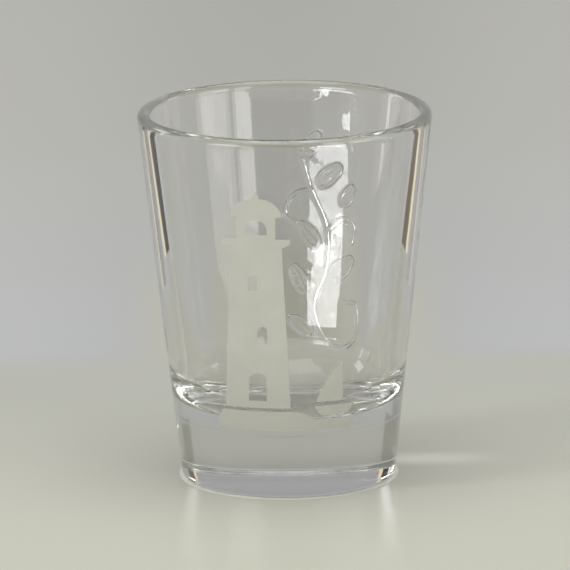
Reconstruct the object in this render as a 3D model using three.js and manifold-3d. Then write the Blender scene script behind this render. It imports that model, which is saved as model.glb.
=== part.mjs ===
// A shot glass: one pressed clear glass body with a solid base, a raised vine on the back of
// its wall, and a frosted lighthouse scene on the front of its wall.
// Millimetres, +Z up. The foot stands on z = 0 and the glass's axis is the Z axis; -Y is the front.

import * as THREE from 'three';
import { mergeVertices } from 'three/addons/utils/BufferGeometryUtils.js';
import Module from 'manifold-3d';

// Glass body
const HEIGHT = 60.3;
const RIM_RADIUS = 23.8;
const FOOT_RADIUS = 17.3;
const RIM_THICKNESS = 2.2;
const LIP_HEIGHT = HEIGHT - RIM_THICKNESS / 2;
const FLOOR_HEIGHT = 12.0;
const WALL_AT_FLOOR = 3.1;
const BOWL_CORNER = 7.6;
const FOOT_ROUND = 0.7;
const UNDERSIDE_RADIUS = 13.6;
const UNDERSIDE_DISH = 0.5;
const ROUND_STEPS = 72;

// Raised vine on the back wall
const VINE_LINE_RADIUS = 0.42;
const VINE_LINE_SIDES = 6;
const LEAF_THICKNESS = 0.36;
const LEAF_WIDTH_RATIO = 0.42;

// Frosted scene on the front wall
const FROST_GAP = 0.06;
const FROST_THICKNESS = 0.2;
const TOWER_CENTRE = -4.8;
const TOWER_FOOT = 15.4;
const DECK_HEIGHT = 42.4;
const FINIAL_HALF_ANGLE = 0.15;
const SHORE_BOTTOM = 11.6;
const BOAT_CENTRE = 7.4;
const BOAT_WATERLINE = 15.6;

const wasm = await Module();
wasm.setup();

// Radius of the outside of the wall at a height. The taper is straight from foot to lip.
function wallRadius(z) {
  return FOOT_RADIUS + ((RIM_RADIUS - FOOT_RADIUS) * z) / LIP_HEIGHT;
}

// Points of an arc in the (radius, height) plane, both ends included.
function arc(centreR, centreZ, radius, from, to, steps) {
  const points = [];
  for (let i = 0; i <= steps; i++) {
    const angle = from + ((to - from) * i) / steps;
    points.push(new THREE.Vector2(centreR + radius * Math.cos(angle), centreZ + radius * Math.sin(angle)));
  }
  return points;
}

// A solid of revolution about Z from a profile of (radius, height) points.
function turned(profile) {
  return new THREE.LatheGeometry(profile, ROUND_STEPS).rotateX(Math.PI / 2);
}

// A three.js geometry as a manifold solid, with shared vertices and no empty triangles.
function solid(geometry) {
  const bare = geometry.clone();
  bare.deleteAttribute('normal');
  bare.deleteAttribute('uv');
  const merged = mergeVertices(bare, 1e-4);
  const index = merged.index.array;
  const triangles = [];
  for (let i = 0; i < index.length; i += 3) {
    const [a, b, c] = [index[i], index[i + 1], index[i + 2]];
    if (a !== b && b !== c && c !== a) triangles.push(a, b, c);
  }
  return new wasm.Manifold(new wasm.Mesh({
    numProp: 3,
    vertProperties: new Float32Array(merged.attributes.position.array),
    triVerts: new Uint32Array(triangles),
  }));
}

// A manifold solid back as a three.js geometry.
function geometryOf(manifold) {
  const { vertProperties, triVerts } = manifold.getMesh();
  const geometry = new THREE.BufferGeometry();
  geometry.setAttribute('position', new THREE.BufferAttribute(vertProperties, 3));
  geometry.setIndex(new THREE.BufferAttribute(triVerts, 1));
  geometry.computeVertexNormals();
  return geometry;
}

// The plain glass: dished underside, rounded foot, straight taper, round lip and rounded bowl.
function glassProfile() {
  const lip = RIM_THICKNESS / 2;
  const bowlTop = FLOOR_HEIGHT + BOWL_CORNER;
  const bowlRadius = wallRadius(bowlTop) - WALL_AT_FLOOR;
  const dish = (share) => new THREE.Vector2(UNDERSIDE_RADIUS * share, UNDERSIDE_DISH * (1 - share * share));
  return [
    dish(0),
    dish(0.5),
    dish(0.8),
    dish(1),
    ...arc(wallRadius(FOOT_ROUND) - FOOT_ROUND, FOOT_ROUND, FOOT_ROUND, -Math.PI / 2, 0, 4),
    ...arc(RIM_RADIUS - lip, LIP_HEIGHT, lip, 0, Math.PI, 8),
    ...arc(bowlRadius - BOWL_CORNER, bowlTop, BOWL_CORNER, 0, -Math.PI / 2, 8),
    new THREE.Vector2(0, FLOOR_HEIGHT),
  ];
}

// A point on the outside of the back wall, from its distance round the wall (+X way) and height.
function onBackWall(along, z) {
  const radius = wallRadius(z);
  const angle = along / radius;
  return new THREE.Vector3(radius * Math.sin(angle), radius * Math.cos(angle), z);
}

// A raised round line on the back wall through [along, height] points.
function vineLine(points, steps) {
  const path = new THREE.CatmullRomCurve3(points.map(([along, z]) => onBackWall(along, z)));
  const section = new THREE.Shape();
  for (let i = 0; i < VINE_LINE_SIDES; i++) {
    const angle = (2 * Math.PI * i) / VINE_LINE_SIDES;
    const [x, y] = [VINE_LINE_RADIUS * Math.cos(angle), VINE_LINE_RADIUS * Math.sin(angle)];
    if (i === 0) section.moveTo(x, y);
    else section.lineTo(x, y);
  }
  section.closePath();
  return new THREE.ExtrudeGeometry(section, { steps, bevelEnabled: false, extrudePath: path });
}

// A raised pillow-shaped leaf on the back wall, from its middle, length and lean from upright.
function leaf(along, z, length, lean) {
  const angle = along / wallRadius(z);
  const blade = new THREE.SphereGeometry(1, 12, 8);
  blade.scale((length * LEAF_WIDTH_RATIO) / 2, LEAF_THICKNESS, length / 2);
  blade.rotateY(lean);
  blade.rotateX(-Math.atan((RIM_RADIUS - FOOT_RADIUS) / LIP_HEIGHT));
  blade.rotateZ(-angle);
  const place = onBackWall(along, z);
  return blade.translate(place.x, place.y, place.z);
}

function vine() {
  return [
    vineLine([[3, 47], [4.6, 42], [7.6, 36], [7.4, 29], [4.8, 23], [7.2, 17.6], [11.2, 16.4], [14, 19.6],
      [13.6, 23.8], [11.4, 24]], 44),
    vineLine([[7.6, 35], [10.4, 37.4], [12.8, 36.4], [12.4, 33.8]], 14),
    vineLine([[4.6, 42], [1.4, 41], [0, 38], [1.8, 36.4]], 14),
    leaf(4.6, 49.4, 5.2, 0.5),
    leaf(8.2, 44.4, 5.6, 0.9),
    leaf(11.6, 41.4, 4.2, 0.6),
    leaf(4.2, 34.6, 5.4, -0.8),
    leaf(10.6, 29.6, 5.6, 0.9),
    leaf(2.4, 27.4, 5.2, -0.5),
    leaf(2.6, 19.8, 4.8, -1.0),
  ];
}

function glassBody() {
  return vine().reduce((body, raised) => body.add(solid(raised)), solid(turned(glassProfile())));
}

// A thin skin that follows the front of the wall inside a flat outline drawn in X and Z.
function frostedSkin(outline) {
  const inner = FROST_GAP;
  const outer = FROST_GAP + FROST_THICKNESS;
  const corner = (z, out) => new THREE.Vector2(wallRadius(z) + out, z);
  const ring = [corner(2, inner), corner(2, outer), corner(56, outer), corner(56, inner), corner(2, inner)];
  const prism = new THREE.ExtrudeGeometry(outline, { depth: RIM_RADIUS, bevelEnabled: false, curveSegments: 8 });
  prism.rotateX(Math.PI / 2).translate(0, -FOOT_RADIUS / 2, 0);
  return solid(turned(ring)).intersect(solid(prism));
}

// An upright opening with a half-round head, drawn in X and Z.
function archedOpening(centre, bottom, width, height) {
  const half = width / 2;
  const opening = new THREE.Path();
  opening.moveTo(centre - half, bottom);
  opening.lineTo(centre + half, bottom);
  opening.lineTo(centre + half, bottom + height - half);
  opening.absarc(centre, bottom + height - half, half, 0, Math.PI, false);
  opening.closePath();
  return opening;
}

// The lighthouse: tapered tower, deck, lantern room, dome and finial, with clear windows and door.
function towerOutline() {
  const c = TOWER_CENTRE;
  const lantern = DECK_HEIGHT + 1.5;
  const eave = lantern + 3.7;
  const tower = new THREE.Shape();
  tower.moveTo(c - 5.2, TOWER_FOOT);
  tower.lineTo(c + 5.2, TOWER_FOOT);
  tower.lineTo(c + 4.1, DECK_HEIGHT);
  tower.lineTo(c + 5.4, DECK_HEIGHT + 0.6);
  tower.lineTo(c + 5.4, lantern);
  tower.lineTo(c + 3.1, lantern);
  tower.lineTo(c + 3.1, eave);
  tower.lineTo(c + 4.1, eave);
  tower.absellipse(c, eave, 4.1, 3.1, 0, Math.PI / 2 - FINIAL_HALF_ANGLE, false);
  tower.lineTo(c, eave + 4.4);
  tower.absellipse(c, eave, 4.1, 3.1, Math.PI / 2 + FINIAL_HALF_ANGLE, Math.PI, false);
  tower.lineTo(c - 3.1, eave);
  tower.lineTo(c - 3.1, lantern);
  tower.lineTo(c - 5.4, lantern);
  tower.lineTo(c - 5.4, DECK_HEIGHT + 0.6);
  tower.lineTo(c - 4.1, DECK_HEIGHT);
  tower.closePath();
  tower.holes.push(
    archedOpening(c, TOWER_FOOT + 1.2, 2.8, 4.8),
    archedOpening(c + 0.8, 26.4, 1.6, 2.8),
    archedOpening(c - 0.6, 35.2, 1.5, 2.6),
    archedOpening(c, lantern + 0.7, 3.4, 2.5),
  );
  return tower;
}

// The shore: low rocks with a rolling top edge, under the tower and out to the boat.
function shoreOutline() {
  const shore = new THREE.Shape();
  shore.moveTo(-11.2, SHORE_BOTTOM);
  shore.lineTo(10.6, SHORE_BOTTOM);
  shore.quadraticCurveTo(10.4, 12.6, 9.2, 12.9);
  shore.quadraticCurveTo(7.6, 12.9, 6.8, 13.4);
  shore.quadraticCurveTo(5.4, 12.8, 4.2, 13.6);
  shore.quadraticCurveTo(2.6, 14.6, 0.9, 14.8);
  shore.lineTo(-10.2, 14.8);
  shore.quadraticCurveTo(-11.4, 13.4, -11.2, SHORE_BOTTOM);
  return shore;
}

// The boat's hull, a shallow cup shape.
function hullOutline() {
  const hull = new THREE.Shape();
  hull.moveTo(BOAT_CENTRE - 3.1, BOAT_WATERLINE);
  hull.lineTo(BOAT_CENTRE + 3.1, BOAT_WATERLINE);
  hull.quadraticCurveTo(BOAT_CENTRE + 2.4, BOAT_WATERLINE - 1.6, BOAT_CENTRE + 1.3, BOAT_WATERLINE - 1.7);
  hull.lineTo(BOAT_CENTRE - 1.7, BOAT_WATERLINE - 1.7);
  hull.quadraticCurveTo(BOAT_CENTRE - 2.7, BOAT_WATERLINE - 1.4, BOAT_CENTRE - 3.1, BOAT_WATERLINE);
  return hull;
}

// The boat's sail, a tall triangle with a bellied edge.
function sailOutline() {
  const foot = BOAT_WATERLINE + 0.7;
  const sail = new THREE.Shape();
  sail.moveTo(BOAT_CENTRE - 2.9, foot);
  sail.lineTo(BOAT_CENTRE + 1.4, foot);
  sail.lineTo(BOAT_CENTRE + 1.4, foot + 6.6);
  sail.quadraticCurveTo(BOAT_CENTRE - 1.4, foot + 4.2, BOAT_CENTRE - 2.9, foot);
  return sail;
}

const clearGlass = new THREE.MeshStandardMaterial({
  color: 0xdfe3df, roughness: 0.03, metalness: 0, transparent: true, opacity: 0.35,
});
const frosting = new THREE.MeshStandardMaterial({ color: 0xc9cabb, roughness: 0.75, metalness: 0 });

const shotGlass = new THREE.Group();
const pieces = [
  ['glass_body', glassBody(), clearGlass],
  ['frosted_tower', frostedSkin(towerOutline()), frosting],
  ['frosted_shore', frostedSkin(shoreOutline()), frosting],
  ['frosted_hull', frostedSkin(hullOutline()), frosting],
  ['frosted_sail', frostedSkin(sailOutline()), frosting],
];
for (const [name, shape, material] of pieces) {
  const mesh = new THREE.Mesh(geometryOf(shape), material);
  mesh.name = name;
  shotGlass.add(mesh);
}

export default shotGlass;
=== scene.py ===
"""A shot glass: clear pressed glass with a raised vine at the back and a frosted scene in front."""

import math

import bmesh
import bpy
import numpy as np
from mathutils import Matrix, Vector


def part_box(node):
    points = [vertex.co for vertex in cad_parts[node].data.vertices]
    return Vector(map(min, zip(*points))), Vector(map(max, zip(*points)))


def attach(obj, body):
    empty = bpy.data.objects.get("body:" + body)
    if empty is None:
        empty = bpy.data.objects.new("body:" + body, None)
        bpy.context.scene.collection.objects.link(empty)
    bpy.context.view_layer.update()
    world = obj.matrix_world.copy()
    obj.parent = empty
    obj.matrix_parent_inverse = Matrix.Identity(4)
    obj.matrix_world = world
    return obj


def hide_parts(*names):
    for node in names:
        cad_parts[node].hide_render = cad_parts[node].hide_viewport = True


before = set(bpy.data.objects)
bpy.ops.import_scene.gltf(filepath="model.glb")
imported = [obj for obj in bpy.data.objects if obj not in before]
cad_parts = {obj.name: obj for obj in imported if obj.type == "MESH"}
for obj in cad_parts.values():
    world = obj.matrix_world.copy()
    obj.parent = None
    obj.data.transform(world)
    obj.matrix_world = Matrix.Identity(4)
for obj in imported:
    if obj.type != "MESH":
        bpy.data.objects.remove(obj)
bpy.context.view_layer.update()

MM = 0.001
LOW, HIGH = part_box("glass_body")

# The glass, in millimetres: the taper, lip, bowl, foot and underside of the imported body.
HEIGHT = (HIGH.z - LOW.z) / MM
RIM_RADIUS = HIGH.x / MM
FOOT_RADIUS = 17.3
RIM_THICKNESS = 2.2
LIP_HEIGHT = HEIGHT - RIM_THICKNESS / 2
LIP_STEPS = 16
TAPER = (RIM_RADIUS - FOOT_RADIUS) / LIP_HEIGHT
FLOOR_HEIGHT = 12.0
WALL_AT_FLOOR = 3.1
BOWL_CORNER = 7.6
FOOT_ROUND = 0.7
UNDERSIDE_RADIUS = 13.6
UNDERSIDE_DISH = 0.5
UNDERSIDE_RINGS = 10

# The fine raised ring left where two parts of the mould meet, in millimetres.
MOULD_RING_HEIGHT = 10.7
MOULD_RING_HALF_WIDTH = 0.22
MOULD_RING_RELIEF = 0.02

# The vine, drawn on the back wall as [distance round the wall towards +X, height].
VINE_LINES = [
    [[3, 47], [4.6, 42], [7.6, 36], [7.4, 29], [4.8, 23], [7.2, 17.6], [11.2, 16.4], [14, 19.6],
     [13.6, 23.8], [11.4, 24]],
    [[7.6, 35], [10.4, 37.4], [12.8, 36.4], [12.4, 33.8]],
    [[4.6, 42], [1.4, 41], [0, 38], [1.8, 36.4]],
]
# Leaves as (distance round the wall, height, length, lean from upright).
VINE_LEAVES = [
    (4.6, 49.4, 5.2, 0.5), (8.2, 44.4, 5.6, 0.9), (11.6, 41.4, 4.2, 0.6), (4.2, 34.6, 5.4, -0.8),
    (10.6, 29.6, 5.6, 0.9), (2.4, 27.4, 5.2, -0.5), (2.6, 19.8, 4.8, -1.0),
]
LEAF_WIDTH_RATIO = 0.42
LEAF_TAPER = 0.25
LEAF_EDGE_HALF_WIDTH = 0.36
LEAF_RIB_HALF_WIDTH = 0.24
LEAF_VEINS = 2.6
LINE_HALF_WIDTH = 0.45
RELIEF_HEIGHT = 0.42

# The part of the back wall that holds the vine: angles from +Y towards +X, and heights.
VINE_START, VINE_STOP = math.radians(-7), math.radians(50)
VINE_BOTTOM, VINE_TOP = 14.5, 52.5

# Waves in the wall as (height in millimetres, extra height beside the vine, radians for each radian round
# the wall, radians for each millimetre up it, share of the phase).
WAVES = [
    (0.008, 0, 7, 0.03, 1),
    (0.004, 0, 17, -0.05, 2.1),
    (0.0015, 0.0050, 41, 0.02, 0.7),
    (0.001, 0.0035, 9, 0.9, 1),
    (0, 0.0020, 97, 0.3, 0),
    (0, 0.0012, 23, 2.7, 0),
]
BESIDE_VINE, BESIDE_VINE_SPREAD = math.radians(20), math.radians(22)
OUTSIDE_PHASE, INSIDE_PHASE = 0.4, 2.3
WAVE_FADE = 3
FLOOR_STILL_RADIUS = 4
FLOOR_WAVE_FADE = 8


def wall_radius(z):
    """Outside radius of the wall at a height."""
    return FOOT_RADIUS + TAPER * z


# ---------------------------------------------------------------- glass body


def spaced(start, stop, step):
    """Even steps from start towards stop, without stop itself."""
    count = max(1, math.ceil(abs(stop - start) / step))
    return [start + (stop - start) * i / count for i in range(count)]


def arc(centre_r, centre_z, radius, start, stop, steps):
    """(radius, height) points of an arc, both ends included."""
    angles = [start + (stop - start) * i / steps for i in range(steps + 1)]
    return [(centre_r + radius * math.cos(a), centre_z + radius * math.sin(a)) for a in angles]


def underside_profile():
    """The dish, the flat ring that the glass stands on and the rounded foot."""
    rings = [UNDERSIDE_RADIUS * i / UNDERSIDE_RINGS for i in range(1, UNDERSIDE_RINGS)]
    dish = [(r, UNDERSIDE_DISH * (1 - (r / UNDERSIDE_RADIUS) ** 2)) for r in rings]
    ring_outer = wall_radius(FOOT_ROUND) - FOOT_ROUND
    flat = [(r, 0.0) for r in spaced(UNDERSIDE_RADIUS, ring_outer, 0.9)]
    return dish + flat + arc(ring_outer, FOOT_ROUND, FOOT_ROUND, -math.pi / 2, 0, 8)[:-1]


def outer_wall_profile():
    """The outside of the wall, with finer rows at the mould ring and over the vine."""
    ring_bottom, ring_top = MOULD_RING_HEIGHT - 0.5, MOULD_RING_HEIGHT + 0.5
    heights = (
        spaced(FOOT_ROUND, ring_bottom, 1.2)
        + spaced(ring_bottom, ring_top, 0.1)
        + spaced(ring_top, VINE_BOTTOM, 0.9)
        + spaced(VINE_BOTTOM, VINE_TOP, 0.18)
        + spaced(VINE_TOP, LIP_HEIGHT, 1.0)
    )
    return [(wall_radius(z), z) for z in heights]


def inside_profile():
    """The lip, the inside of the wall, the bowl's corner and its floor."""
    lip = RIM_THICKNESS / 2
    bowl_top = FLOOR_HEIGHT + BOWL_CORNER
    bowl_radius = wall_radius(bowl_top) - WALL_AT_FLOOR
    rim_inner = RIM_RADIUS - RIM_THICKNESS
    floor_edge = bowl_radius - BOWL_CORNER
    wall = [
        (rim_inner + (bowl_radius - rim_inner) * (LIP_HEIGHT - z) / (LIP_HEIGHT - bowl_top), z)
        for z in spaced(LIP_HEIGHT, bowl_top, 1.5)
    ]
    corner = arc(floor_edge, bowl_top, BOWL_CORNER, 0, -math.pi / 2, 22)
    floor = [(r, FLOOR_HEIGHT) for r in spaced(floor_edge, 0, 1.4)[1:]]
    return arc(RIM_RADIUS - lip, LIP_HEIGHT, lip, 0, math.pi, LIP_STEPS)[:-1] + wall + corner + floor


def column_angles():
    """Angles round the glass from +Y towards +X, finer where the vine is."""
    fine = spaced(VINE_START, VINE_STOP, math.radians(0.46))
    return np.array(fine + spaced(VINE_STOP, VINE_START + 2 * math.pi, math.radians(2.1)))


def smooth_curve(points, per_span=24):
    """A Catmull-Rom curve through points."""
    p = np.array(points, float)
    p = np.vstack([2 * p[0] - p[1], p, 2 * p[-1] - p[-2]])
    t = np.linspace(0, 1, per_span, endpoint=False)[:, None]
    spans = []
    for a, b, c, d in zip(p, p[1:], p[2:], p[3:]):
        spans.append(0.5 * (2 * b + (c - a) * t + (2 * a - 5 * b + 4 * c - d) * t**2
                            + (3 * b - a - 3 * c + d) * t**3))
    return np.vstack(spans + [p[-2]])


def distance_to_curve(along, z, curve):
    """Distance of each wall point to the nearest point of a curve."""
    nearest = np.full(along.shape, np.inf)
    for x, y in curve:
        nearest = np.minimum(nearest, (along - x) ** 2 + (z - y) ** 2)
    return np.sqrt(nearest)


def bead(distance, half_width):
    """A rounded raised line's height, from 0 to 1."""
    inside = np.clip(1 - (distance / half_width) ** 2, 0, 1)
    return inside**1.4


def leaf_height(along, z, leaf):
    """A leaf with a raised edge, a midrib, side veins and a softly filled blade, from 0 to 1.

    p runs along the leaf from -1 to 1, and q across it in millimetres.
    """
    middle, height, length, lean = leaf
    right, up = along - middle, z - height
    p = (right * math.sin(lean) + up * math.cos(lean)) / (length / 2)
    q = right * math.cos(lean) - up * math.sin(lean)
    half_width = length * LEAF_WIDTH_RATIO / 2 * np.sqrt(np.clip(1 - p**2, 0, 1)) * (1 - LEAF_TAPER * p)
    from_edge = half_width - np.abs(q)
    inside = np.clip(from_edge / 0.3, 0, 1) * (np.abs(p) < 1)
    edge = bead(from_edge, LEAF_EDGE_HALF_WIDTH) * np.clip((1.02 - np.abs(p)) / 0.06, 0, 1)
    rib = bead(q, LEAF_RIB_HALF_WIDTH) * (np.abs(p) < 0.9)
    vein_centre = np.mod(p * LEAF_VEINS - np.abs(q) * 0.9, 1) - 0.5
    veins = bead(vein_centre * 0.9, 0.16) * inside
    blade_share, rib_share, vein_share = 0.38, 0.85, 0.6
    return np.maximum.reduce([edge, blade_share * inside, rib_share * rib * inside, vein_share * veins])


def relief(angle, z):
    """How far the raised vine stands out of the back wall, in millimetres."""
    along = angle * wall_radius(z)
    height = np.zeros(along.shape)
    for line in VINE_LINES:
        height = np.maximum(height, bead(distance_to_curve(along, z, smooth_curve(line)), LINE_HALF_WIDTH))
    for leaf in VINE_LEAVES:
        height = np.maximum(height, leaf_height(along, z, leaf))
    return RELIEF_HEIGHT * height


def ripple(angle, z, phase):
    """The faint unevenness of a pressed wall, in millimetres, stronger beside the vine."""
    beside_vine = np.exp(-(((angle - BESIDE_VINE) / BESIDE_VINE_SPREAD) ** 2))
    height = np.zeros(angle.shape)
    for plain, extra, round_wall, up_wall, share in WAVES:
        height += (plain + extra * beside_vine) * np.sin(round_wall * angle + up_wall * z + share * phase)
    return height


def mould_ring(z):
    """How far the mould ring stands out of the wall, in millimetres."""
    return MOULD_RING_RELIEF * np.clip(1 - np.abs(z - MOULD_RING_HEIGHT) / MOULD_RING_HALF_WIDTH, 0, 1)


def fade_in(distance, length):
    """0 up to a distance of 0, then an even rise to 1 at the length."""
    return np.clip(distance / length, 0, 1)


def outside_relief(angle, z):
    """What the waves, the mould ring and the vine add to the outside radius, in millimetres."""
    fade = fade_in(LIP_HEIGHT - z, WAVE_FADE) * fade_in(z - FOOT_ROUND, WAVE_FADE)
    raised = ripple(angle, z, OUTSIDE_PHASE) * fade + mould_ring(z)
    vine = (z > VINE_BOTTOM) & (angle < VINE_STOP)
    raised[vine] += relief(angle[vine], z[vine])
    return raised


def inside_relief(angle, z, radius):
    """What the waves add to the inside radius, fading out at the lip and the middle of the floor."""
    fade = fade_in(LIP_HEIGHT - z, WAVE_FADE) * fade_in(radius - FLOOR_STILL_RADIUS, FLOOR_WAVE_FADE)
    return ripple(angle, z, INSIDE_PHASE) * fade


def round_mesh(name, radius, height, angle, first_height, last_height):
    """A closed mesh through rows of points round Z, ending in a middle point at each end."""
    points = np.stack([radius * np.sin(angle), radius * np.cos(angle), height], axis=-1).reshape(-1, 3)
    ends = [[0, 0, first_height], [0, 0, last_height]]
    rows, cols = radius.shape
    first, last = rows * cols, rows * cols + 1
    last_row = (rows - 1) * cols
    following = [(c + 1) % cols for c in range(cols)]
    faces = [
        (r * cols + c, (r + 1) * cols + c, (r + 1) * cols + following[c], r * cols + following[c])
        for r in range(rows - 1) for c in range(cols)
    ]
    faces += [(first, c, following[c]) for c in range(cols)]
    faces += [(last, last_row + following[c], last_row + c) for c in range(cols)]
    mesh = bpy.data.meshes.new(name)
    mesh.from_pydata((np.vstack([points, ends]) * MM).tolist(), [], faces)
    mesh.validate()
    mesh.shade_smooth()
    return mesh


def glass_mesh():
    below, outer = underside_profile(), outer_wall_profile()
    profile = np.array(below + outer + inside_profile())
    columns = column_angles()
    radius = profile[:, :1] + np.zeros(len(columns))
    height = profile[:, 1:] + np.zeros(len(columns))
    angle = columns + np.zeros((len(profile), 1))
    wall_end = len(below) + len(outer)
    outside = slice(len(below), wall_end)
    inside = slice(wall_end + LIP_STEPS, len(profile))
    radius[outside] += outside_relief(angle[outside], height[outside])
    radius[inside] += inside_relief(angle[inside], height[inside], radius[inside])
    return round_mesh("glass_body_visual", radius, height, angle, UNDERSIDE_DISH, FLOOR_HEIGHT)


def add_piece(name, mesh, material):
    piece = bpy.data.objects.new(name, mesh)
    bpy.context.scene.collection.objects.link(piece)
    mesh.materials.append(material)
    return piece


# ---------------------------------------------------------------- materials

GLASS_TINT = (0.92, 0.915, 0.91, 1)
GLASS_DEPTH_TINT = (0.25, 0.28, 0.25, 1)
GLASS_DEPTH_DENSITY = 4
GLASS_IOR = 1.52
SMEAR_ROUGHNESS = 0.07
FROST_DARKER = (0.83, 0.83, 0.76, 1)
FROST_LIGHTER = (0.88, 0.88, 0.81, 1)
# Painted shade for the coat low down, over the solid base.
FROST_PAINTED_SHADE_OVER_BASE = (0.75, 0.75, 0.68, 1)
FROST_IOR = 1.45
FROST_CLEARNESS = 0.3
GRAIN_STRENGTH = 0.12
GRAIN_DEPTH = 0.00003


def new_material(name):
    material = bpy.data.materials.new(name)
    material.use_nodes = True
    return material, material.node_tree.nodes, material.node_tree.links


def add_noise(nodes, links, scale, detail=3.0, distortion=0.0):
    place = nodes.new("ShaderNodeTexCoord")
    noise = nodes.new("ShaderNodeTexNoise")
    noise.inputs["Scale"].default_value = scale
    noise.inputs["Detail"].default_value = detail
    noise.inputs["Distortion"].default_value = distortion
    links.new(place.outputs["Object"], noise.inputs["Vector"])
    return noise.outputs["Fac"]


def add_range(nodes, links, value, low, high, to_low, to_high, shape="LINEAR"):
    """Maps value from low..high to to_low..to_high, held at the ends."""
    node = nodes.new("ShaderNodeMapRange")
    node.interpolation_type = shape
    for name, number in zip(("From Min", "From Max", "To Min", "To Max"), (low, high, to_low, to_high)):
        node.inputs[name].default_value = number
    links.new(value, node.inputs["Value"])
    return node.outputs["Result"]


def add_math(nodes, links, operation, first, second=None):
    """A sum on a socket and, where there is one, a second socket or a number."""
    node = nodes.new("ShaderNodeMath")
    node.operation = operation
    links.new(first, node.inputs[0])
    if isinstance(second, float):
        node.inputs[1].default_value = second
    elif second is not None:
        links.new(second, node.inputs[1])
    return node.outputs[0]


def add_place(nodes, links, kind="Object"):
    """Sockets for the place being shaded, and for its X, Y and Z."""
    place = nodes.new("ShaderNodeTexCoord")
    split = nodes.new("ShaderNodeSeparateXYZ")
    links.new(place.outputs[kind], split.inputs["Vector"])
    return place.outputs[kind], split.outputs["X"], split.outputs["Y"], split.outputs["Z"]


def add_mix(nodes, links, first, second, factor, blend="MIX"):
    """Mixes two colours, each a plain colour or a socket. No factor means all of the second."""
    node = nodes.new("ShaderNodeMix")
    node.data_type = "RGBA"
    node.blend_type = blend
    for name, colour in (("A", first), ("B", second)):
        if isinstance(colour, tuple):
            node.inputs[name].default_value = colour
        else:
            links.new(colour, node.inputs[name])
    if factor is None:
        node.inputs["Factor"].default_value = 1
    else:
        links.new(factor, node.inputs["Factor"])
    return node.outputs["Result"]


def clear_glass_material():
    """Clear soda-lime glass, faintly grey-green where it is deep, with smears that are a little rough."""
    material, nodes, links = new_material("clear_glass")
    shader = nodes["Principled BSDF"]
    shader.inputs["Base Color"].default_value = GLASS_TINT
    shader.inputs["Transmission Weight"].default_value = 1.0
    shader.inputs["IOR"].default_value = GLASS_IOR
    smears = add_noise(nodes, links, 90, detail=5.0, distortion=0.8)
    roughness = add_range(nodes, links, smears, 0.56, 0.8, 0.0, SMEAR_ROUGHNESS)
    links.new(roughness, shader.inputs["Roughness"])
    depth = nodes.new("ShaderNodeVolumeAbsorption")
    depth.inputs["Color"].default_value = GLASS_DEPTH_TINT
    depth.inputs["Density"].default_value = GLASS_DEPTH_DENSITY
    links.new(depth.outputs["Volume"], nodes["Material Output"].inputs["Volume"])
    return material


def frosted_material():
    """A satin coat: fine grain, slight mottling, a little light let through, and painted shade that
    darkens it towards the bottom, over the base.
    """
    material, nodes, links = new_material("frosted_coat")
    shader = nodes["Principled BSDF"]
    shader.inputs["Transmission Weight"].default_value = FROST_CLEARNESS
    shader.inputs["IOR"].default_value = FROST_IOR
    mottle = add_noise(nodes, links, 260, detail=4.0)
    grain = add_noise(nodes, links, 9000, detail=2.0)
    colour = add_mix(nodes, links, FROST_DARKER, FROST_LIGHTER,
                     add_range(nodes, links, mottle, 0.3, 0.7, 0, 1))
    # Painted shade: the coat's colour darkens from 26 mm down to 12 mm, over the solid base.
    _, _, _, height = add_place(nodes, links)
    painted_shade_over_base = add_range(nodes, links, height, 0.026, 0.012, 0, 1)
    colour = add_mix(nodes, links, colour, FROST_PAINTED_SHADE_OVER_BASE, painted_shade_over_base)
    links.new(colour, shader.inputs["Base Color"])
    links.new(add_range(nodes, links, grain, 0.3, 0.7, 0.5, 0.68), shader.inputs["Roughness"])
    bump = nodes.new("ShaderNodeBump")
    bump.inputs["Strength"].default_value = GRAIN_STRENGTH
    bump.inputs["Distance"].default_value = GRAIN_DEPTH
    links.new(grain, bump.inputs["Height"])
    links.new(bump.outputs["Normal"], shader.inputs["Normal"])
    return material


# ---------------------------------------------------------------- frosted scene, in millimetres

TOWER_CENTRE = -4.8
TOWER_FOOT = 15.4
DECK_HEIGHT = 42.4
FINIAL_HALF_ANGLE = 0.15
SHORE_BOTTOM = 11.6
BOAT_CENTRE = 7.4
BOAT_WATERLINE = 15.6
DOME_RADIUS = 4.1
DOME_HEIGHT = 3.1
FINIAL_HEIGHT = 4.4
COAT_OUTSIDE = 0.045
COAT_INSIDE = -0.02
COAT_STRIP_WIDTH = 0.6
COAT_STRIP_HEIGHT = 3.0


def oval(centre_x, centre_z, radius_x, radius_z, start, stop, steps=18):
    """Points of part of an oval, both ends included."""
    angles = [start + (stop - start) * i / steps for i in range(steps + 1)]
    return [(centre_x + radius_x * math.cos(a), centre_z + radius_z * math.sin(a)) for a in angles]


def bend(start, control, end, steps=10):
    """Points of a quadratic curve after its start."""
    a, b, c = np.array(start), np.array(control), np.array(end)
    ts = [i / steps for i in range(1, steps + 1)]
    return [tuple((1 - t) ** 2 * a + 2 * t * (1 - t) * b + t**2 * c) for t in ts]


def arched_opening(centre, bottom, width, height):
    """An upright opening with a half-round head."""
    half = width / 2
    head = oval(centre, bottom + height - half, half, half, 0, math.pi, 12)
    return [(centre - half, bottom), (centre + half, bottom)] + head


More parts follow.
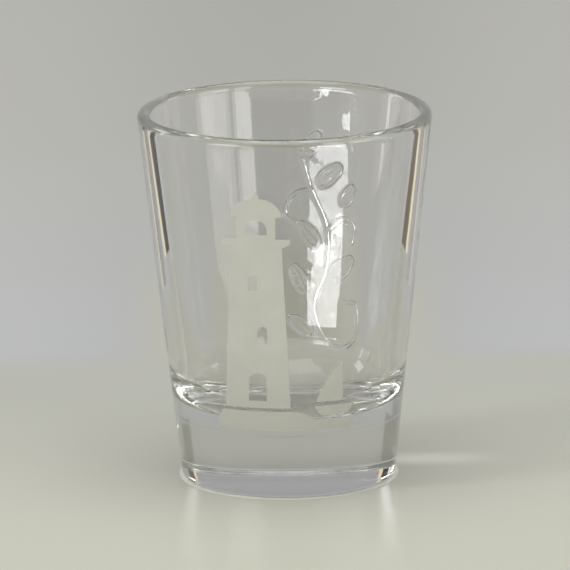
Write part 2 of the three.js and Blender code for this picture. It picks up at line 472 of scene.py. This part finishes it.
def tower_outlines():
    """The lighthouse: its outline, then its door, two windows and lantern opening."""
    c = TOWER_CENTRE
    lantern = DECK_HEIGHT + 1.5
    eave = lantern + 3.7
    top = math.pi / 2
    right = [(c + 5.2, TOWER_FOOT), (c + 4.1, DECK_HEIGHT), (c + 5.4, DECK_HEIGHT + 0.6),
             (c + 5.4, lantern), (c + 3.1, lantern), (c + 3.1, eave)]
    left = [(2 * c - x, z) for x, z in reversed(right)]
    dome_right = oval(c, eave, DOME_RADIUS, DOME_HEIGHT, 0, top - FINIAL_HALF_ANGLE)
    dome_left = oval(c, eave, DOME_RADIUS, DOME_HEIGHT, top + FINIAL_HALF_ANGLE, math.pi)
    dome = dome_right + [(c, eave + FINIAL_HEIGHT)] + dome_left
    openings = [
        arched_opening(c, TOWER_FOOT + 1.2, 2.8, 4.8),
        arched_opening(c + 0.8, 26.4, 1.6, 2.8),
        arched_opening(c - 0.6, 35.2, 1.5, 2.6),
        arched_opening(c, lantern + 0.7, 3.4, 2.5),
    ]
    return [right + dome + left] + openings


def shore_outlines():
    stops = [((10.4, 12.6), (9.2, 12.9)), ((7.6, 12.9), (6.8, 13.4)), ((5.4, 12.8), (4.2, 13.6)),
             ((2.6, 14.6), (0.9, 14.8))]
    outline = [(-11.2, SHORE_BOTTOM), (10.6, SHORE_BOTTOM)]
    for control, end in stops:
        outline += bend(outline[-1], control, end)
    outline.append((-10.2, 14.8))
    return [outline + bend(outline[-1], (-11.4, 13.4), (-11.2, SHORE_BOTTOM))[:-1]]


def hull_outlines():
    c, z = BOAT_CENTRE, BOAT_WATERLINE
    outline = [(c - 3.1, z), (c + 3.1, z)]
    outline += bend(outline[-1], (c + 2.4, z - 1.6), (c + 1.3, z - 1.7))
    outline.append((c - 1.7, z - 1.7))
    return [outline + bend(outline[-1], (c - 2.7, z - 1.4), (c - 3.1, z))[:-1]]


def sail_outlines():
    c, foot = BOAT_CENTRE, BOAT_WATERLINE + 0.7
    outline = [(c - 2.9, foot), (c + 1.4, foot), (c + 1.4, foot + 6.6)]
    return [outline + bend(outline[-1], (c - 1.4, foot + 4.2), (c - 2.9, foot))[:-1]]


def cut_into_strips(bm, low, high, step, axis):
    """Cuts flat faces across an axis, so that they can follow the round wall."""
    for i in range(1, math.ceil((high - low) / step)):
        place, normal = [0, 0, 0], [0, 0, 0]
        place[axis] = low + i * step
        normal[axis] = 1
        everything = bm.verts[:] + bm.edges[:] + bm.faces[:]
        bmesh.ops.bisect_plane(bm, geom=everything, plane_co=place, plane_no=normal, dist=1e-5)


def coat_mesh(name, outlines):
    """A thin closed coat that follows the front wall inside flat outlines drawn in X and Z."""
    bm = bmesh.new()
    for outline in outlines:
        verts = [bm.verts.new((x, 0, z)) for x, z in outline]
        for a, b in zip(verts, verts[1:] + verts[:1]):
            bm.edges.new((a, b))
    bmesh.ops.triangle_fill(bm, edges=bm.edges[:], use_beauty=True)
    xs, zs = zip(*outlines[0])
    x_axis, z_axis = 0, 2
    cut_into_strips(bm, min(xs), max(xs), COAT_STRIP_WIDTH, x_axis)
    cut_into_strips(bm, min(zs), max(zs), COAT_STRIP_HEIGHT, z_axis)
    bmesh.ops.recalc_face_normals(bm, faces=bm.faces[:])
    if bm.faces[0].normal.y > 0:
        bmesh.ops.reverse_faces(bm, faces=bm.faces[:])
    front = set(bm.verts)
    copied = bmesh.ops.extrude_face_region(bm, geom=bm.faces[:])["geom"]
    back = {item for item in copied if isinstance(item, bmesh.types.BMVert)}
    for vert in bm.verts:
        out = COAT_INSIDE if vert in front and vert not in back else COAT_OUTSIDE
        radius = wall_radius(vert.co.z) + out
        vert.co.y = -math.sqrt(radius**2 - vert.co.x**2)
        vert.co *= MM
    bmesh.ops.recalc_face_normals(bm, faces=bm.faces[:])
    mesh = bpy.data.meshes.new(name)
    bm.to_mesh(mesh)
    bm.free()
    return mesh


# ---------------------------------------------------------------- stage, lights and camera


# Colours of the tabletop, from the side near the camera to its far edge, and of the floor beyond it. The
# tabletop grows darker away from the camera: painted light falling off.
TABLE_NEAR_PAINTED_LIGHTER = (0.59, 0.59, 0.50, 1)
TABLE_FAR_PAINTED_DARKER = (0.50, 0.502, 0.445, 1)
FLOOR_NEAR = (0.52, 0.525, 0.53, 1)
FLOOR_FAR = (0.515, 0.51, 0.47, 1)
# Painted shadow on the floor beyond the table: a soft darkening in the middle, and a darker warm patch
# straight behind the glass.
FLOOR_MIDDLE_SHADE = (0.88, 0.88, 0.885, 1)
SHADOW_BEHIND_GLASS_MIDDLE = (0.37, 0.365, 0.305, 1)
SHADOW_BEHIND_GLASS_SIDES = (0.51, 0.505, 0.43, 1)
# Painted light on the table: light the glass gathers under itself, in a fine ring round its foot and in a
# streak on its right.
LIGHT_UNDER_GLASS = (0.85, 0.81, 0.64, 1)
LIGHT_ROUND_FOOT = (0.93, 0.93, 0.84, 1)
LIGHT_STREAK = (0.80, 0.795, 0.72, 1)
WHITE = (1, 1, 1, 1)

TABLE_REACH = 3.0
TABLE_LEVEL = -0.00004
TABLE_TURN = -0.03
STREAK_DEPTH = 0.0072


def floor_colour(nodes, links, aside, depth):
    """Cool grey beyond the table, with painted shadow in the middle, and a warm patch straight behind the
    glass that painted shadow darkens most at its middle.
    """
    colour = add_mix(nodes, links, FLOOR_NEAR, FLOOR_FAR, add_range(nodes, links, depth, 0.1, 0.28, 0, 1))
    shade = add_mix(nodes, links, FLOOR_MIDDLE_SHADE, WHITE,
                    add_range(nodes, links, aside, 0.0, 0.06, 0, 1, "SMOOTHSTEP"))
    colour = add_mix(nodes, links, colour, shade, None, "MULTIPLY")
    shadow_behind_glass = add_mix(nodes, links, SHADOW_BEHIND_GLASS_MIDDLE, SHADOW_BEHIND_GLASS_SIDES,
                           add_range(nodes, links, aside, 0.002, 0.019, 0, 1))
    warm = add_mix(nodes, links, colour, shadow_behind_glass,
                   add_range(nodes, links, depth, 0.19, 0.115, 0, 1, "SMOOTHSTEP"))
    return add_mix(nodes, links, warm, colour,
                   add_range(nodes, links, aside, 0.019, 0.032, 0, 1, "SMOOTHSTEP"))


def with_gathered_light(nodes, links, colour, place, x, y):
    """Adds the light that the glass gathers: under it, in a fine ring and in a streak on its right."""
    length = nodes.new("ShaderNodeVectorMath")
    length.operation = "LENGTH"
    links.new(place, length.inputs[0])
    radius = length.outputs["Value"]
    foot = FOOT_RADIUS * MM
    under = add_range(nodes, links, radius, 0.0165, 0.0155, 0, 1)
    colour = add_mix(nodes, links, colour, LIGHT_UNDER_GLASS, under)
    ring = add_range(nodes, links, radius, foot + 0.0007, foot + 0.0002, 0, 1)
    colour = add_mix(nodes, links, colour, LIGHT_ROUND_FOOT, ring)
    from_middle = add_math(nodes, links, "ABSOLUTE", add_math(nodes, links, "SUBTRACT", y, STREAK_DEPTH))
    start = add_range(nodes, links, x, 0.0160, 0.0185, 0, 1, "SMOOTHSTEP")
    end = add_range(nodes, links, x, 0.0200, 0.0380, 1, 0, "SMOOTHSTEP")
    width = add_range(nodes, links, from_middle, 0.0002, 0.0058, 1, 0, "SMOOTHSTEP")
    streak = add_math(nodes, links, "MULTIPLY", add_math(nodes, links, "MULTIPLY", start, end), width)
    return add_mix(nodes, links, colour, LIGHT_STREAK, streak)


def table():
    """A tabletop, warm near the glass and lighter towards the camera with painted light, and a soft cool
    grey floor beyond its far edge.
    """
    r, z = TABLE_REACH, TABLE_LEVEL
    mesh = bpy.data.meshes.new("stage_table")
    mesh.from_pydata([(-r, -r, z), (r, -r, z), (r, r, z), (-r, r, z)], [], [(0, 1, 2, 3)])
    material, nodes, links = new_material("stage_table")
    shader = nodes["Principled BSDF"]
    shader.inputs["Roughness"].default_value = 0.3
    shader.inputs["Specular IOR Level"].default_value = 0.4
    place, x, y, _ = add_place(nodes, links)
    aside = add_math(nodes, links, "ABSOLUTE", x)
    depth = add_math(nodes, links, "ADD", add_math(nodes, links, "MULTIPLY", x, TABLE_TURN), y)
    # Painted light: the tabletop is lighter near the camera and darker towards its far edge.
    top = add_mix(nodes, links, TABLE_NEAR_PAINTED_LIGHTER, TABLE_FAR_PAINTED_DARKER,
                  add_range(nodes, links, depth, -0.025, 0.055, 0, 1))
    colour = add_mix(nodes, links, top, floor_colour(nodes, links, aside, depth),
                     add_range(nodes, links, depth, 0.071, 0.081, 0, 1))
    colour = with_gathered_light(nodes, links, colour, place, x, y)
    links.new(colour, shader.inputs["Base Color"])
    add_piece("stage_table", mesh, material)


def place_round(azimuth, distance, height):
    """A point round the glass. Azimuth 0 is the camera's side, and positive is to the camera's right."""
    a = math.radians(azimuth)
    return (distance * math.sin(a), -distance * math.cos(a), height)


# The only pieces that mirror the cards are in this collection, so the table stays plain.
mirrored_by = bpy.data.collections.new("mirrored_by")


def card(name, start, stop, low, high, colour, distance):
    """A curved glowing card between two azimuths and heights, seen only where the glass reflects it."""
    degrees_per_face = 3
    steps = max(2, round((stop - start) / degrees_per_face))
    azimuths = [start + (stop - start) * i / steps for i in range(steps + 1)]
    points = [place_round(a, distance, z) for z in (low, high) for a in azimuths]
    faces = [(i, i + 1, i + steps + 2, i + steps + 1) for i in range(steps)]
    mesh = bpy.data.meshes.new(name)
    mesh.from_pydata(points, [], faces)
    material, nodes, links = new_material(name)
    nodes.remove(nodes["Principled BSDF"])
    glow = nodes.new("ShaderNodeEmission")
    glow.inputs["Color"].default_value = (*colour, 1)
    path = nodes.new("ShaderNodeLightPath")
    clear = nodes.new("ShaderNodeBsdfTransparent")
    mixed = nodes.new("ShaderNodeMixShader")
    links.new(path.outputs["Glossy Depth"], mixed.inputs[0])
    links.new(clear.outputs["BSDF"], mixed.inputs[1])
    links.new(glow.outputs["Emission"], mixed.inputs[2])
    links.new(mixed.outputs["Shader"], nodes["Material Output"].inputs["Surface"])
    piece = add_piece(name, mesh, material)
    piece.visible_camera = piece.visible_diffuse = piece.visible_shadow = False
    piece.light_linking.receiver_collection = mirrored_by


def soft_light(name, azimuth, elevation, distance, size, radiance):
    """A square lamp aimed at the foot of the glass. The camera does not see it, even through the glass."""
    lamp = bpy.data.lights.new(name, "AREA")
    lamp.size = size
    lamp.energy = radiance * math.pi * size**2
    light = bpy.data.objects.new(name, lamp)
    rise = math.radians(elevation)
    light.location = place_round(azimuth, distance * math.cos(rise), distance * math.sin(rise))
    light.rotation_euler = light.location.to_track_quat("Z", "Y").to_euler()
    light.visible_camera = light.visible_transmission = False
    bpy.context.scene.collection.objects.link(light)
    return light


# The surroundings, from the horizon up to straight overhead.
HORIZON = (0.50, 0.505, 0.51, 1)
ABOVE_HORIZON = (0.41, 0.415, 0.42, 1)
HALF_WAY_UP = (0.36, 0.355, 0.33, 1)
OVERHEAD = (0.80, 0.80, 0.78, 1)


def surroundings():
    """A plain studio: soft grey at the horizon, dimmer above it and brighter straight overhead."""
    world = bpy.data.worlds.new("surroundings")
    world.use_nodes = True
    nodes, links = world.node_tree.nodes, world.node_tree.links
    _, _, _, up = add_place(nodes, links, "Generated")
    colour = HORIZON
    rises = [(ABOVE_HORIZON, 0.02, 0.16), (HALF_WAY_UP, 0.4, 0.75), (OVERHEAD, 0.89, 0.97)]
    for next_colour, low, high in rises:
        colour = add_mix(nodes, links, colour, next_colour, add_range(nodes, links, up, low, high, 0, 1))
    links.new(colour, nodes["Background"].inputs["Color"])
    bpy.context.scene.world = world


# The camera, at the photo's angle.
CAMERA_DISTANCE = 1.300
CAMERA_ELEVATION = math.radians(13.52)
CAMERA_ROLL = math.radians(-0.7)
CAMERA_SHIFT = Vector((-0.00026, 0, 0.00104))
FOCAL_SHARE = 14.08


def camera():
    """The camera in front of the glass. FOCAL_SHARE is its focal length over its sensor's width."""
    data = bpy.data.cameras.new("camera")
    data.sensor_width = 36
    data.lens = FOCAL_SHARE * data.sensor_width
    data.clip_start, data.clip_end = 0.1, 10
    centre = (LOW + HIGH) / 2
    back = Vector((0, -math.cos(CAMERA_ELEVATION), math.sin(CAMERA_ELEVATION)))
    aim = back.to_track_quat("Z", "Y").to_matrix().to_4x4() @ Matrix.Rotation(CAMERA_ROLL, 4, "Z")
    cam = bpy.data.objects.new("camera", data)
    cam.matrix_world = Matrix.Translation(centre + back * CAMERA_DISTANCE + CAMERA_SHIFT) @ aim
    bpy.context.scene.collection.objects.link(cam)
    bpy.context.scene.camera = cam


# Cards as (name, first azimuth, last azimuth, bottom, top, brightness, distance from the glass's axis).
CARDS = [
    ("rim_left_card", -128, -108, 0.20, 0.33, (5.0, 5.2, 5.5), 0.5),
    ("rim_right_card", 110, 126, 0.20, 0.31, (3.5, 3.6, 3.8), 0.5),
    ("window_card", -61, -25, 0.0, 0.031, (13.0, 13.2, 13.5), 0.36),
    ("window_top_card", -55, -32, 0.08, 0.17, (8.0, 8.2, 8.4), 0.5),
    ("blind_card", 30, 45, 0.0, 0.40, (3.4, 3.4, 3.2), 0.5),
    ("curtain_card", 51, 82, 0.0, 0.40, (2.6, 2.6, 2.45), 0.5),
    ("blind_top_card", 50, 66, 0.09, 0.16, (7.0, 7.0, 6.8), 0.49),
    ("dark_room_card", -25, 29, 0.0, 0.45, (0.03, 0.03, 0.02), 0.5),
    ("warm_card", -125, -97, 0.0, 0.18, (1.2, 1.15, 0.95), 0.5),
    ("streak_card", -110, -106, 0.0, 0.18, (5.0, 5.1, 5.2), 0.49),
    ("brown_left_card", -136, -127, 0.0, 0.045, (0.01, 0.006, 0.002), 0.113),
    ("cream_left_card", -140, -136, 0.0, 0.045, (1.0, 0.85, 0.55), 0.113),
    ("brown_right_card", 125, 134, 0.0, 0.045, (0.12, 0.08, 0.035), 0.113),
    ("cream_right_card", 134, 137, 0.0, 0.045, (1.0, 0.88, 0.6), 0.113),
]


def lights():
    """A key lamp on the left, a wide ceiling lamp and a weak fill that casts no shadow."""
    key = soft_light("key", -66, 24, 1.1, 0.22, 20.0)
    key.visible_glossy = False
    soft_light("ceiling", 0, 85, 1.8, 1.6, 2.0)
    fill = soft_light("fill", 40, 35, 1.2, 0.8, 1.5)
    fill.visible_glossy = False
    fill.data.use_shadow = False


# ---------------------------------------------------------------- the pieces and their stage


glass_look = clear_glass_material()
coat_look = frosted_material()

body = add_piece("clear_glass_body", glass_mesh(), glass_look)
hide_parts("glass_body")
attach(body, "root")

COATS = {
    "frosted_tower": tower_outlines,
    "frosted_shore": shore_outlines,
    "frosted_hull": hull_outlines,
    "frosted_sail": sail_outlines,
}
for node, outlines in COATS.items():
    coat = add_piece(node + "_coat", coat_mesh(node + "_coat", outlines()), coat_look)
    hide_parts(node)
    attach(coat, "root")

mirrored_by.objects.link(body)
table()
surroundings()
lights()
for row in CARDS:
    card(*row)
camera()

# Light crosses clear glass many times, so it is followed through far more bounces than usual.
GLASS_BOUNCES = 96
scene = bpy.context.scene
scene.view_settings.view_transform = "Standard"
scene.cycles.max_bounces = GLASS_BOUNCES
scene.cycles.transmission_bounces = GLASS_BOUNCES
scene.cycles.glossy_bounces = GLASS_BOUNCES
scene.cycles.diffuse_bounces = 4
scene.cycles.sample_clamp_indirect = 20
scene.cycles.use_denoising = True
